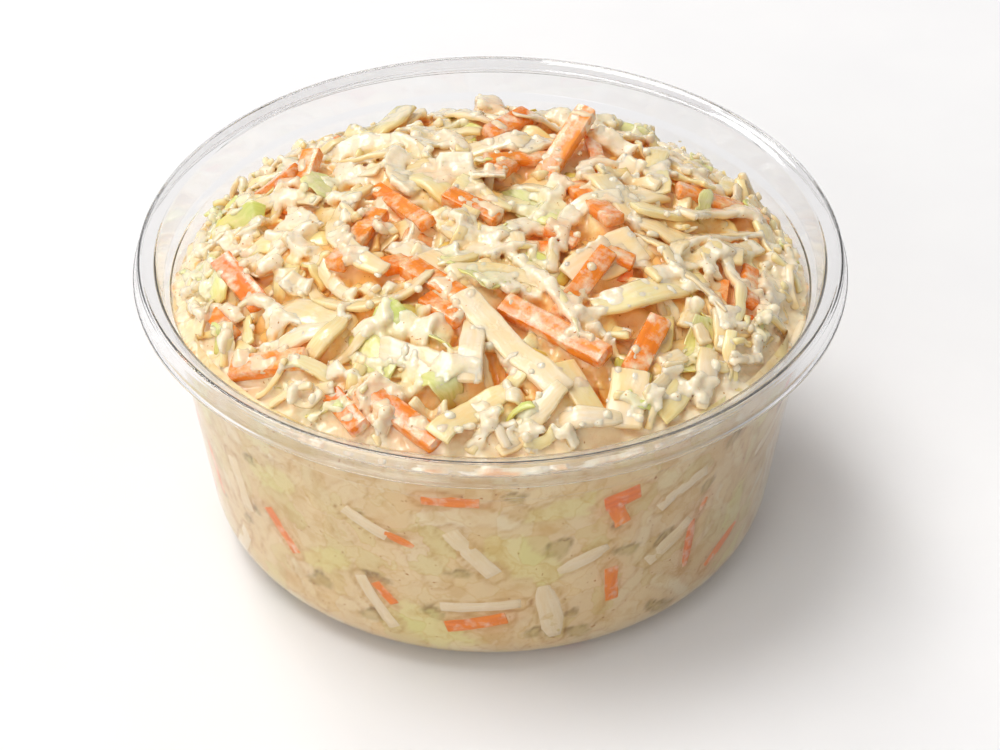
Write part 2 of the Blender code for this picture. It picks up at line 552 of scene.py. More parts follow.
def bent_path(heading, length, count, curl, wave=0.0):
    """Points along a strip in a plane and its heading at each, bent by curl and swung by wave."""
    place = np.linspace(-0.5, 0.5, count) * length
    turn = heading + curl * place / length + wave * np.sin(place * 0.5)
    return np.cumsum(np.stack([np.cos(turn), np.sin(turn)], 1) * length / (count - 1), axis=0), turn


def resampled(values, places):
    """Rows of values, read at places between the rows."""
    return np.array([np.interp(places, np.arange(len(values)), column) for column in values.T]).T


def block_of(low, high):
    """Grid slices that hold a box, and the coordinates of their cells."""
    slices = []
    for k in range(3):
        start = max(int((low[k] - LOW[k]) / VOXEL), 0)
        stop = min(int((high[k] - LOW[k]) / VOXEL) + 2, SHAPE[k])
        if stop <= start:
            return None, None
        slices.append(slice(start, stop))
    coordinates = np.meshgrid(*(AXES[k][slices[k]] for k in range(3)), indexing="ij")
    return tuple(slices), coordinates


def shred_distance(shred, x, y, z):
    """Distance to the swept strip, by its nearest stretch."""
    best = np.full(x.shape, 1e3, np.float32)
    for k in range(len(shred.points) - 1):
        start, stop = shred.points[k], shred.points[k + 1]
        middle = 0.5 * (start + stop)
        half = 0.5 * np.linalg.norm(stop - start)
        dx, dy, dz = x - middle[0], y - middle[1], z - middle[2]
        along = (stop - start) / (2 * half)
        normal = shred.normals[k]
        across = np.cross(normal, along)
        width = 0.5 * (shred.width[k] + shred.width[k + 1])
        thickness = 0.5 * (shred.thickness[k] + shred.thickness[k + 1])
        a = np.abs(dx * along[0] + dy * along[1] + dz * along[2]) - half
        b = np.abs(dx * across[0] + dy * across[1] + dz * across[2]) - width
        c = np.abs(dx * normal[0] + dy * normal[1] + dz * normal[2]) - thickness
        outer = np.sqrt(np.maximum(a, 0) ** 2 + np.maximum(b, 0) ** 2 + np.maximum(c, 0) ** 2)
        best = np.minimum(best, outer + np.minimum(np.maximum(np.maximum(a, b), c), 0))
    return best


def rest_line(support, spacing, stiff, stiffness):
    """Heights at which a strip rests on the ground under it, straight if stiff."""
    count = len(support)
    place = np.arange(count) * spacing
    if stiff:
        hull = []
        for point in zip(place, support):
            while len(hull) > 1:
                (x1, y1), (x2, y2) = hull[-2:]
                if (y2 - y1) * (point[0] - x2) > (point[1] - y2) * (x2 - x1):
                    break
                hull.pop()
            hull.append(point)
        middle = place[-1] * 0.5
        for (x1, y1), (x2, y2) in zip(hull, hull[1:]):
            if x2 >= middle:
                slope = np.clip((y2 - y1) / (x2 - x1), -1.2, 1.2)
                return y1 + slope * (place - x1)
    line = support.copy()
    for _ in range(stiffness):
        padded = np.pad(line, 1, mode="reflect", reflect_type="odd")
        line = np.maximum(support - FLOW, 0.25 * padded[:-2] + 0.5 * line + 0.25 * padded[2:])
    return line


SALAD_RADIUS = 50.0  # how far out shreds are laid, and the curve that they follow there
RIM_ZONE = 43.0  # from this radius on they follow the wall
RIM_REACH = 48.6
FLOW = 0.3  # how far a strip may sink into what lies under it as it settles


class Mound:
    """The salad as it is laid: a height map that rises with each shred."""

    def __init__(self, target, chain):
        self.target = target
        self.chain = chain
        x, y = np.meshgrid(PLAN, PLAN, indexing="ij")
        rim = np.clip((np.hypot(x, y) - 48.5) / 1.5, 0, 1)
        self.height = target - CORE_DEPTH * (1 - rim) - RIM_DEPTH * rim
        self.kept = np.zeros(target.shape, bool)
        slope_x, slope_y = np.gradient(blurred(target, 4.0), STEP)
        normals = np.stack([-slope_x, -slope_y, np.ones_like(slope_x)], -1)
        self.normals = normals / np.linalg.norm(normals, axis=-1)[..., None]
        self.shreds = []

    def wall(self, height):
        return np.interp(height, *self.chain[WALL_START:, ::-1].T)

    def lowest_place(self, tries, reach):
        """A place in the plan that lies furthest below the mound's outline."""
        angle = random.uniform(0, 2 * math.pi, tries)
        radius = reach * np.sqrt(random.uniform(0, 1, tries))
        x, y = radius * np.cos(angle), radius * np.sin(angle)
        i, j = plan_index(x, y)
        lack = self.target[i, j] - self.height[i, j]
        best = np.argmax(lack)
        return x[best], y[best], lack[best]

    def lay(self, kind, x, y, heading, length, width, thickness, **form):
        """Drops one strip onto the mound and returns it, or None if it misses the cup."""
        count = max(6, int(length / 1.6))
        path, turn = bent_path(heading, length, count, form.get("curl", 0.0), form.get("wave", 0.0))
        path += np.array([x, y]) - path[count // 2]
        taper, lean = form.get("taper", 0.0), form.get("lean", 0.0)
        share = np.linspace(-1, 1, count)
        # The ends grow slimmer with the cube of their distance from the middle.
        slim = 1 - taper * np.abs(share + lean) ** 3 / (1 + abs(lean)) ** 3
        half = 0.5 * width * slim
        sides = np.stack([-np.sin(turn), np.cos(turn)], 1)
        # The strip rests on the highest ground under its width, and hides no kept piece.
        support = np.full(count, -1e9)
        hidden = np.zeros(count)
        for side in (-0.8, 0.0, 0.8):
            edge = path + sides * (side * half)[:, None]
            place_in_plan = plan_index(edge[:, 0], edge[:, 1])
            support = np.maximum(support, self.height[place_in_plan])
            hidden += self.kept[place_in_plan] / 3
        if hidden.mean() > 0.15:
            return None
        spacing = length / (count - 1)
        line = rest_line(support, spacing, form.get("stiff", False), form.get("stiffness", 4))
        line += 0.5 * thickness - form.get("sink", 0.35)
        excess = (line - self.target[plan_index(path[:, 0], path[:, 1])]).mean() - form.get("top", 0.3)
        if excess > 0 and not form.get("push", False):
            return None
        line -= max(excess, 0.0)
        radius = np.hypot(path[:, 0], path[:, 1])
        if (radius > self.wall(np.clip(line, 10, 52)) - 0.6 * width).any():
            return None
        normals = self.normals[plan_index(path[:, 0], path[:, 1])].mean(0)
        tilt = form.get("roll", 0.0)
        normals = np.tile(normals, (count, 1)) + tilt * np.pad(sides, ((0, 0), (0, 1)))
        points = np.column_stack([path, line])
        thick = 0.5 * thickness * (1 - 0.6 * taper * np.abs(share) ** 3)
        shred = Shred(kind, points, normals, half, thick, form.get("coat", 0.0), form.get("square", 3.5))
        self.shreds.append(shred)
        self.raise_under(shred)
        return shred

    def raise_under(self, shred):
        """Raises the height map to the top of a shred."""
        fine = np.linspace(0, len(shred.points) - 1, len(shred.points) * 4)
        centre, across = resampled(shred.points, fine), resampled(shred.across, fine)
        sizes = resampled(np.column_stack([shred.width, shred.thickness]), fine)
        for side in np.linspace(-1, 1, 9):
            edge = centre + across * (side * sizes[:, 0])[:, None]
            i, j = plan_index(edge[:, 0], edge[:, 1])
            np.maximum.at(self.height, (i, j), edge[:, 2] + sizes[:, 1])


def lay_random(mound, count, odds, tries, top):
    """Lays a mix of shreds where the mound is low, none above a height over its outline."""
    kinds = ("carrot", "strip", "rib", "leaf", "crumb")
    for _ in range(count):
        x, y, lack = mound.lowest_place(tries, SALAD_RADIUS)
        if lack > 0.3 - top:
            lay_kind(mound, random.choice(kinds, p=odds), x, y, random.uniform(0, 2 * math.pi), top)


def lay_rim(mound, count):
    """Fills the edge along the wall with short shreds, most of them along it."""
    for _ in range(count):
        angle = random.uniform(0, 2 * math.pi, 8)
        radius = random.uniform(45.0, 50.2, 8)
        place = plan_index(radius * np.cos(angle), radius * np.sin(angle))
        lack = mound.target[place] - mound.height[place]
        best = np.argmax(lack)
        if lack[best] < 0.2:
            continue
        angle, radius = angle[best], radius[best]
        slant = random.normal(0, 0.5)
        room = 1.5 + 2 * (50.6 - radius) / max(abs(math.sin(slant)), 0.1)
        length = min(random.uniform(2.5, 9), room)
        kind = random.choice(("strip", "crumb", "leaf", "carrot"), p=(0.66, 0.20, 0.08, 0.06))
        thickness = {"strip": 1.0, "crumb": 1.2, "leaf": 0.6, "carrot": 1.6}[kind]
        x, y = radius * math.cos(angle), radius * math.sin(angle)
        width = random.uniform(0.9, 2.2)
        form = {"curl": random.normal(0, 0.4), "roll": random.normal(0, 0.4), "stiff": kind == "carrot"}
        form.update(top=0.9, coat=-0.12, stiffness=5, square=5)
        mound.lay(kind, x, y, angle + math.pi / 2 + slant, length, width, thickness, **form)


def lay_kind(mound, kind, x, y, heading, top):
    """Lays one shred of a kind, following the wall where it is near."""
    rim = math.hypot(x, y) > RIM_ZONE
    form = {"top": top}
    length = {"carrot": (7, 16), "strip": (8, 26), "rib": (8, 18), "leaf": (6, 12), "crumb": (2.5, 7)}
    length = random.uniform(*length[kind])
    if rim:
        slant = random.normal(0, 0.35)
        length = min(length, random.uniform(3, 12) * math.cos(slant))
        heading = math.atan2(y, x) + math.pi / 2 + slant
        reach = RIM_REACH - 0.5 * length * abs(math.sin(slant))
        pull = min(1.0, random.uniform(reach - 2.5, reach) / math.hypot(x, y))
        x, y = x * pull, y * pull
    if kind == "carrot":
        size = random.uniform(2.4, 3.3 if rim else 3.8), random.uniform(1.8, 2.6)
        form.update(stiff=True, coat=-0.22, square=7, sink=0.5)
        form["taper"] = random.choice([0.0, 0.0, 0.5])
        form["roll"] = random.normal(0, 0.2)
    elif kind == "strip":
        bend = random.normal(0, 0.7) if random.uniform() < 0.75 else random.normal(0, 2.0)
        size = random.uniform(1.6, 3.2 if rim else 4.4), random.uniform(0.7, 1.2)
        form.update(curl=length / SALAD_RADIUS if rim else bend, wave=random.normal(0, 0.12))
        form["taper"] = random.choice([0.0, 0.3, 0.8])
        form["lean"] = random.uniform(-0.5, 0.5)
        form["coat"] = random.normal(-0.03, 0.12)
        form.update(stiffness=7, roll=random.normal(0, 0.35), square=5)
    elif kind == "rib":
        size = random.uniform(2.6, 3.4 if rim else 5.2), random.uniform(1.3, 2.0)
        form["curl"] = length / SALAD_RADIUS if rim else random.normal(0, 0.2)
        form.update(coat=-0.2, square=6, stiffness=14, sink=0.4)
        form["taper"] = random.choice([0.0, 0.3])
        form["roll"] = random.normal(0, 0.3)
    elif kind == "leaf":
        size = random.uniform(3, 3.6 if rim else 7), random.uniform(0.5, 0.7)
        form["curl"] = random.normal(0, 0.3)
        form.update(coat=-0.15, square=3, stiffness=2, sink=0.1, taper=0.5, roll=random.normal(0, 0.5))
    else:
        size = random.uniform(1.4, 3.6), random.uniform(0.8, 1.6)
        form["coat"] = random.normal(-0.02, 0.15)
        form.update(stiffness=3, roll=random.normal(0, 0.45), square=4)
    mound.lay(kind, x, y, heading, length, *size, **form)


# The pieces that show most on top: kind, x, y, heading in degrees, length, width, and curl in
# radians from end to end.
MAIN_PIECES = (
    ("leaf", -43, 17, -50, 14, 8, 0.3),
    ("leaf", -46, -7, -75, 15, 6, 0.2),
    ("leaf", -7, 31, -50, 12, 6, 0.3),
    ("leaf", 8, 2, -50, 13, 8, 0.2),
    ("leaf", 9, -15, -40, 8, 6, 0.3),
    ("leaf", -18, -34, -60, 11, 6.5, 0.3),
    ("leaf", -8, -40, -40, 7, 5.5, 0.3),
    ("leaf", 33, -29, 70, 12, 5, 0.6),
    ("strip", 0, 33, -10, 9, 4, 0.4),
    ("strip", 33, 26, 60, 10, 4, 0.4),
    ("strip", 38, 23, 10, 8, 3.5, 0.4),
    ("strip", -23, 34, 40, 14, 5, 0.3),
    ("strip", -17, 36, 55, 11, 5, 0.3),
    ("strip", 23, 29, 50, 16, 4.5, 0.4),
    ("strip", 43, 22, 75, 14, 3.5, 0.4),
    ("strip", 47, 2, -70, 8, 4, 0.4),
    ("strip", 49, -14, -75, 7, 4, 0.4),
    ("strip", 24, 6, 15, 13, 6.5, 0.3),
    ("strip", -10, 8, -40, 15, 6.5, -0.3),
    ("strip", -34, -4, -10, 17, 4, 0.2),
    ("strip", -28, -24, -35, 16, 7, 0.2),
    ("strip", -33, -11, 85, 9, 4.5, 0.2),
    ("strip", -31, -29, 0, 12, 3.5, 0.2),
    ("strip", -26, -31, -125, 11, 3, -0.8),
    ("strip", -7, -17, -45, 23, 7, 0.1),
    ("strip", 19, -12, 35, 14, 7, -0.2),
    ("strip", -11, -36, -25, 13, 4.5, 0.2),
    ("strip", 27, -27, 75, 9, 4, 0.6),
    ("strip", 34, -34, 80, 10, 3.5, 0.3),
    ("strip", 29, -39, 50, 8, 5, 0.5),
    ("strip", 38, -22, -60, 10, 4, 0.4),
    ("strip", -35, 29, -15, 16, 2.5, -0.5),
    ("strip", 1, 20, 0, 22, 4, 0.1),
    ("rib", -3, -34, -95, 14, 4, 0.1),
    ("rib", 14, -41, -60, 10, 4.5, 0.1),
    ("rib", 21, -42, -100, 9, 6, 0.1),
    ("strip", 16, -46, 5, 10, 3.5, 0.3),
    ("carrot", -14, -13, 20, 6, 4, 0.0),
    ("carrot", -7, -26, -45, 8, 3.5, 0.0),
    ("carrot", 12, -7, -25, 5, 3, 0.0),
    ("carrot", 5, 16, 5, 12, 2.5, 0.0),
    ("carrot", 42, -13, -95, 10, 3, 0.0),
    ("carrot", -22, -44, -60, 9, 3.5, 0.0),
    ("carrot", 18, 19, -80, 9, 2.5, 0.0),
    ("carrot", -36, 16, -25, 8, 3.5, 0.0),
    ("carrot", -32, 12, -105, 13, 3.5, 0.0),
    ("carrot", 24, -32, -115, 11, 4, 0.0),
    ("carrot", 21, -12, -15, 5, 3, 0.0),
    ("carrot", 4, 28, 50, 10, 4, 0.0),
    ("carrot", 39, 10, 5, 15, 3.5, 0.0),
    ("carrot", -40, -13, -60, 14, 4, 0.0),
    ("carrot", -35, -32, -15, 12, 4, 0.0),
    ("carrot", -14, -45, -40, 15, 4, 0.0),
    ("carrot", -22, -8, -115, 16, 3.5, 0.0),
    ("carrot", -15, 2, -60, 19, 3, 0.0),
    ("carrot", 17, 1, -65, 15, 3.5, 0.0),
    ("carrot", 15, -19, 60, 17, 3.5, 0.0),
    ("carrot", -8, -20, -45, 15, 4, 0.0),
    ("carrot", 10, -30, -35, 19, 4, 0.0),
    ("strip", -25, -6, -85, 30, 3.5, 1.9),
    ("rib", 3, -33, -50, 24, 4.5, 0.1),
    ("strip", 26, -20, 30, 21, 5.5, 0.3),
    ("strip", 21, 3, -60, 22, 5, 0.3),
    ("strip", 32, -5, -15, 19, 4.5, 0.2),
    ("strip", 40, -14, -80, 21, 2, -1.0),
    ("strip", -3, -45, 40, 15, 4.5, -0.5),
    ("strip", 7, -46, 40, 13, 3.5, 0.1),
)


def lay_main(mound):
    """Lays the pieces that show most, each on those before it, and keeps them in sight."""
    main = []
    for kind, x, y, heading, length, width, curl in MAIN_PIECES:
        heading = math.radians(heading)
        if kind == "carrot":
            form = {"stiff": True, "coat": -0.3, "square": 7, "sink": 0.5}
            thickness = 0.6 * width
        elif kind == "leaf":
            form = {"coat": -0.12, "square": 3, "stiffness": 2, "sink": 0.1, "taper": 0.5}
            thickness = 0.6
        elif kind == "rib":
            form = {"coat": -0.3, "square": 7, "stiffness": 18, "sink": 0.4}
            thickness = 1.5
        else:
            form = {"coat": -0.24, "square": 5, "stiffness": 14, "taper": 0.4}
            form["lean"] = random.uniform(-0.5, 0.5)
            thickness = 1.25
        form["roll"] = random.normal(0, 0.12)
        form["push"] = True
        form["top"] = 0.3 if kind == "carrot" else 0.9
        for shorter in (1.0, 0.85, 0.7, 0.55):
            x, y = x * (0.9 + 0.1 * shorter), y * (0.9 + 0.1 * shorter)
            shred = mound.lay(kind, x, y, heading, length * shorter, width, thickness, curl=curl, **form)
            if shred is not None:
                main.append(shred)
                break
    # One carrot stick stands up out of the heap.
    form = {"stiff": True, "coat": -0.3, "square": 7, "push": True}
    upright = mound.lay("carrot", 12.4, 18.5, 1.0, 14.5, 3.8, 2.4, **form)
    upright.points[:, 2] += np.linspace(-1.0, 5.0, len(upright.points))
    for shred in main + [upright]:
        for side in np.linspace(-0.8, 0.8, 5):
            edge = shred.points + shred.across * (side * shred.width)[:, None]
            mound.kept[plan_index(edge[:, 0], edge[:, 1])] = True


SIDE_SHADE = 0.5  # how much deeper in shade a shred's sides and underside count
COVER_BLUR = 5.0  # cells over which the tops are smoothed into one cover
CAVITY_DEPTH = 2.6  # this far below the cover a shred lies in full shade


def find_cavities(mound):
    """How far each shred lies under the tops round it, from 0 to 1, which sets how much painted shade it
    gets.
    """
    cover = blurred(mound.height, COVER_BLUR)
    for shred in mound.shreds:
        x, y, z = shred.points.T
        shred.cavity = np.clip((cover[plan_index(x, y)] - z - 0.1) / CAVITY_DEPTH, 0, 1)
        # Its sides and underside get more painted shade.
        shred.shade = SIDE_SHADE


def ring_shape(square, count):
    """A rounded rectangle of half size 1 as points round its edge."""
    angle = (np.arange(count) + 0.5) * 2 * math.pi / count
    power = 2.0 / square
    x = np.sign(np.cos(angle)) * np.abs(np.cos(angle)) ** power
    y = np.sign(np.sin(angle)) * np.abs(np.sin(angle)) ** power
    return x, y


def shred_mesh(shred, count):
    """Points, faces, values along and round one strip, and how much painted shade each point gets."""
    stations = np.arange(len(shred.points))
    fine = np.linspace(0, stations[-1], max(8, int(len(stations) * 1.6)))
    parts = shred.points, shred.across, shred.normals
    centre, across, normal = (resampled(part, fine) for part in parts)
    width = np.interp(fine, stations, shred.width)
    thick = np.interp(fine, stations, shred.thickness)
    cavity = np.interp(fine, stations, shred.cavity)
    cavity = np.concatenate([cavity[:1], cavity, cavity[-1:]])
    along = centre[-1] - centre[-2], centre[1] - centre[0]
    along = [direction / np.linalg.norm(direction) for direction in along]
    tip = 0.35 * min(thick[0], thick[-1])
    centre = np.vstack([centre[0] - along[1] * tip, centre, centre[-1] + along[0] * tip])
    across = np.vstack([across[:1], across, across[-1:]])
    normal = np.vstack([normal[:1], normal, normal[-1:]])
    width = np.concatenate([[width[0] - tip], width, [width[-1] - tip]])
    thick = np.concatenate([[thick[0] - tip], thick, [thick[-1] - tip]])
    x, y = ring_shape(shred.square, count)
    points = (
        centre[:, None, :]
        + across[:, None, :] * (width[:, None] * x)[..., None]
        + normal[:, None, :] * (thick[:, None] * y)[..., None]
    )
    rings = len(centre)
    points = points.reshape(-1, 3)
    distance = np.concatenate([[0], np.cumsum(np.linalg.norm(np.diff(centre, axis=0), axis=1))])
    u = np.repeat(distance, count)
    v = np.tile(np.arange(count) / count, rings)
    base = np.arange(rings - 1)[:, None] * count
    here = base + np.arange(count)
    after = base + (np.arange(count) + 1) % count
    faces = np.stack([here, after, after + count, here + count], -1).reshape(-1, 4)
    first, last = len(points), len(points) + 1
    points = np.vstack([points, centre[:1] - along[1] * 0.1, centre[-1:] + along[0] * 0.1])
    u = np.concatenate([u, [0, distance[-1]]])
    v = np.concatenate([v, [0, 0]])
    # Painted shade: the point's cavity, and more on the shred's sides and underside.
    deep = (cavity[:, None] + shred.shade * 0.5 * (1 - y)).ravel()
    deep = np.clip(np.concatenate([deep, cavity[[0, -1]]]), 0, 1)
    caps = []
    for k in range(count):
        after = (k + 1) % count
        caps.append((first, after, k))
        caps.append((last, (rings - 1) * count + k, (rings - 1) * count + after))
    return points, faces.tolist() + caps, u, v, deep


def make_shreds(name, shreds, material, rough, sharp, count):
    """All the strips of one kind as one piece, with relief of given sizes and heights.

    The attribute grain holds each point's place along and round its strip, the strip's seed and how much
    painted shade the point gets.
    """
    points, faces, values = [], [], []
    total = 0
    for shred in shreds:
        p, f, u, v, deep = shred_mesh(shred, count)
        offset = np.array([random.uniform(-50, 50) for _ in range(3)])
        for size, height in rough:
            shift = [lattice_noise(p + offset, size, seed) for seed in (11, 12, 13)]
            p = p + height * np.stack(shift, -1)
        p[:, 2] = np.maximum(p[:, 2], LOWEST)
        points.append(p)
        faces.extend([[index + total for index in face] for face in f])
        seeds = np.full(len(u), shred.seed)
        values.append(np.stack([u * 0.02, v, seeds, deep], -1))
        total += len(p)
    add_salad_piece(name, np.vstack(points), faces, material, {"grain": np.vstack(values)}, sharp)


# Dressing ----------------------------------------------------------------------------------


FILL_DROP = 1.45  # how far the dressing between the shreds lies below their smoothed tops
COAT_BLEND = 0.55  # width of the fillet between a coated shred and the dressing round it
CURD_BLEND = 0.8
FAR = 3.0  # distances from carrots and leaves are kept up to this


def dressing_field(mound, inside, lining):
    """Distance to the dressing: it fills between the shreds and coats them in patches.

    Also gives the distance to the nearest carrot and leaf, whose colours tint the dressing.
    """
    fill = blurred(mound.height, 2.0) - FILL_DROP
    i, j = (np.round(np.interp(AXES[k], PLAN, np.arange(COUNT))).astype(int) for k in (0, 1))
    x, y = np.meshgrid(PLAN, PLAN, indexing="ij")
    rim = np.clip((np.hypot(x, y) - 46.5) / 2.5, 0, 1)
    fill = np.maximum(fill, mound.target - 1.3 - 5.0 * (1 - rim))
    ground = fill[np.ix_(i, j)].astype(np.float32)
    field = 0.75 * (AXES[2][None, None, :].astype(np.float32) - ground[..., None])
    field = field + 0.42 * grid_noise(2.9, 8) + 0.26 * grid_noise(1.4, 9)
    patch = 0.26 * grid_noise(4.4, 5) + 0.26 * grid_noise(1.9, 6) + 0.12 * grid_noise(1.1, 7)
    near = {kind: np.full(SHAPE, FAR, np.float32) for kind in ("carrot", "leaf")}
    for shred in mound.shreds:
        margin = max(shred.width.max(), shred.thickness.max()) + 1.2
        low, high = shred.points.min(0) - margin, shred.points.max(0) + margin
        slices, block = block_of(low, high)
        if slices is None:
            continue
        gap = shred_distance(shred, *block)
        if shred.kind in near:
            near[shred.kind][slices] = np.minimum(near[shred.kind][slices], gap)
        coated = gap - shred.coat - patch[slices]
        field[slices] = smooth_min(field[slices], coated, COAT_BLEND)
    # Below the line where it meets the wall, the dressing draws back behind the lining.
    angle = np.arctan2(AXES[1][None, :], AXES[0][:, None])
    below = lining.contact(angle)[..., None] - 2.0 - AXES[2]
    reach = REACH - 3.2 * np.clip(below / 2.0, 0, 1).astype(np.float32)
    return np.maximum(field, inside - reach), near


def add_curds(field, mound, count, inner, outer, lift):
    """Small soft lumps of dressing on what lies on top, between two radii."""
    angle = random.uniform(0, 2 * math.pi, count)
    radius = np.sqrt(random.uniform(inner ** 2, outer ** 2, count))
    x, y = radius * np.cos(angle), radius * np.sin(angle)
    z = mound.height[plan_index(x, y)] + lift
    keep = lattice_noise(np.stack([x, y, z], -1), 7.0, 21) > -0.25
    for place in np.stack([x, y, z], -1)[keep]:
        size = random.uniform(0.35, 0.85)
        # The pieces that show most stay nearly free of curds.
        if mound.kept[plan_index(place[0], place[1])] and random.uniform() < 0.96:
            continue
        place = place - np.array([0, 0, random.uniform(0.0, 0.7)])
        slices, block = block_of(place - size - 1, place + size + 1)
        if slices is None:
            continue
        gx, gy, gz = block
        flat = random.uniform(0.8, 1.3)
        dx, dy, dz = gx - place[0], gy - place[1], flat * (gz - place[2])
        gap = np.sqrt(dx**2 + dy**2 + dz**2) - size
        field[slices] = smooth_min(field[slices], gap.astype(np.float32), CURD_BLEND)
    return field


def surface_of(field, floor):
    """Points and faces of the field's zero surface above a height."""
    start = int((floor - LOW[2]) / VOXEL)
    block = np.pad(field[:, :, start:], 1, constant_values=1.0)
    grid = openvdb.FloatGrid(1.0)
    grid.copyFromArray(np.ascontiguousarray(block))
    points, triangles, quads = grid.convertToPolygons(isovalue=0.0, adaptivity=0.0)
    points = (points - 1) * VOXEL + LOW + np.array([0, 0, start * VOXEL])
    faces = [tuple(reversed(face)) for face in quads.tolist() + triangles.tolist()]
    return points, faces


def sample(grid, points):
    """Nearest grid values at points."""
    index = np.round((points - LOW) / VOXEL).astype(int)
    index = np.clip(index, 0, np.array(grid.shape) - 1)
    return grid[index[:, 0], index[:, 1], index[:, 2]]


# Salad pressed against the wall ------------------------------------------------------------


LINING_SPACING = 0.6
LINING_START = 33.0  # the run at which the wall's sheet begins, under the foot
LINING_RADIUS = 50.0


def wall_place(angle, run):
    """Places on the wall as points in space, for noise that closes round the cup."""
    return np.stack([LINING_RADIUS * np.cos(angle), LINING_RADIUS * np.sin(angle), run], -1)


class Lining:
    """The cup's inside as a surface of angle and distance from the floor's middle."""

    def __init__(self, chain, target):
        self.radius, self.height = chain.T
        steps = np.hypot(np.diff(self.radius), np.diff(self.height))
        self.run = np.concatenate([[0], np.cumsum(steps)])
        slope = np.gradient(chain, axis=0)
        slope /= np.linalg.norm(slope, axis=1)[:, None]
        self.out = np.stack([slope[:, 1], -slope[:, 0]], 1)
        angle = np.linspace(0, 2 * math.pi, 181)
        edge = target[plan_index(51.5 * np.cos(angle), 51.5 * np.sin(angle))]
        self.edge = np.array([angle, edge])
        self.shreds = []

    def contact(self, angle):
        """Height at which the mound meets the wall."""
        return np.interp(np.mod(angle, 2 * math.pi), *self.edge)

    def run_at(self, height):
        rising = self.height > 0.6
        return np.interp(height, self.height[rising], self.run[rising])

    def place(self, angle, run, depth):
        """Points at a depth inside the wall, and the wall's outward normals there."""
        radius = np.interp(run, self.run, self.radius)
        height = np.interp(run, self.run, self.height)
        out = np.stack([np.interp(run, self.run, self.out[:, k]) for k in (0, 1)], -1)
        out /= np.linalg.norm(out, axis=-1)[..., None]
        radius = radius - depth * out[..., 0]
        height = height - depth * out[..., 1]
        points = np.stack([radius * np.cos(angle), radius * np.sin(angle), height], -1)
        normals = np.stack([out[..., 0] * np.cos(angle), out[..., 0] * np.sin(angle), out[..., 1]], -1)
        return points, normals

    def press(self, kind, angle, run, heading, length, width, thickness, **form):
        """Lays a strip flat against the wall, its outer face in the sheet by reach."""
        count = max(6, int(length / 1.4))
        path, _ = bent_path(heading, length, count, form.get("curl", 0.0))
        path -= path[count // 2]
        runs = run + path[:, 1]
        around = np.interp(runs, self.run, self.radius)
        angles = angle + path[:, 0] / np.maximum(around, 4.0)
        if (runs > self.run_at(self.contact(angles)) - 0.8 * width).any() or (runs < 1.0).any():
            return None
        depth = 0.5 * thickness - form.get("reach", 0.2)
        points, normals = self.place(angles, runs, depth)
        share = np.linspace(-1, 1, count)
        taper = form.get("taper", 0.0)
        half = 0.5 * width * (1 - taper * np.abs(share) ** 3)
        thick = np.full(count, 0.5 * thickness)
        shred = Shred(kind, points, normals, half, thick, -0.4, form.get("square", 6))
        shred.flat = np.column_stack([angles, runs])
        shred.flat_width = half
        shred.crisp = form.get("crisp", True)
        shred.fade = random.uniform(0, 0.14)
        self.shreds.append(shred)
        return shred


# What shows through the front wall: kind, angle round the cup, run along its inside from the
# middle of the floor, heading, length, width, curl. Angles and headings are in degrees.
WALL_PIECES = (
    ("carrot", -132, 65, -55, 9, 2.5, 0.0),
    ("carrot", -110, 60, -55, 5, 2, 0.0),
    ("carrot", -93, 56, 15, 10, 3, 0.0),
    ("carrot", -67, 61, -85, 8, 2.5, 0.0),
    ("carrot", -66, 82, 10, 6, 3.5, 0.0),
    ("carrot", -67, 78, -70, 6, 3, 0.0),
    ("carrot", -50, 64, -90, 11, 2, 0.0),
    ("carrot", -40, 57, -145, 9, 2.5, 0.0),
    ("carrot", -96, 85, 0, 9, 3, 0.0),
    ("carrot", -106, 74, -25, 5, 2, 0.0),
    ("carrot", -48, 72, -110, 3, 1.5, 0.0),
    ("strip", -93, 72, -55, 12, 3.5, 0.1),
    ("strip", -79, 58, -80, 13, 4.5, 0.0),
    ("strip", -92, 60, 5, 13, 2.5, 0.1),
    ("strip", -55, 67, 35, 10, 3.5, 0.2),
    ("strip", -112, 57, -65, 12, 2.5, 0.2),
    ("strip", -144, 70, -80, 11, 3.5, 0.1),
    ("strip", -74, 69, -155, 9, 3.5, 0.0),
    ("strip", -112, 76, -30, 8, 3, 0.2),
    ("strip", -54, 79, -160, 10, 3, 0.5),
    ("leaf", -84, 71, -45, 12, 7, 0.2),
    ("leaf", -77, 82, 10, 8, 4.5, 0.2),
    ("leaf", -133, 78, 5, 7, 5, 0.2),
    ("leaf", -122, 64, 20, 7, 5, 0.2),
    ("leaf", -34, 53, -150, 8, 3, 0.2),
    ("leaf", -102, 54, -45, 10, 7, 0.2),
)
# Gaps of air behind the front wall: angle, run, turn, length, width.
WALL_POCKETS = (
    (-78, 73, -10, 4, 4),
    (-65, 69, -25, 4.5, 2.5),
    (-96, 68, 5, 3, 2),
    (-73, 52, -20, 4, 3),
    (-82, 53, -10, 3, 2.5),
    (-55, 51, -35, 6, 2.5),
    (-125, 58, 30, 4.5, 3),
    (-114, 54, 25, 4, 2.5),
    (-86, 86, -10, 3, 2),
    (-48, 76, -30, 2, 3),
    (-140, 66, 35, 1.5, 1.5),
)


def press_kind(lining, kind, angle, run, heading, length, width, curl, crisp):
    """Presses one shred flat, its face in the plastic or a little behind a film of dressing."""
    form = {"reach": 0.2 if crisp else -0.05, "crisp": crisp, "curl": curl}
    form["taper"] = 0.5 if kind == "leaf" else random.choice([0.0, 0.0, 0.5])
    form["square"] = 7 if kind in ("carrot", "rib") else 5
    thickness = 0.6 if kind == "leaf" else 1.2
    return lining.press(kind, angle, run, heading, length, width, thickness, **form)


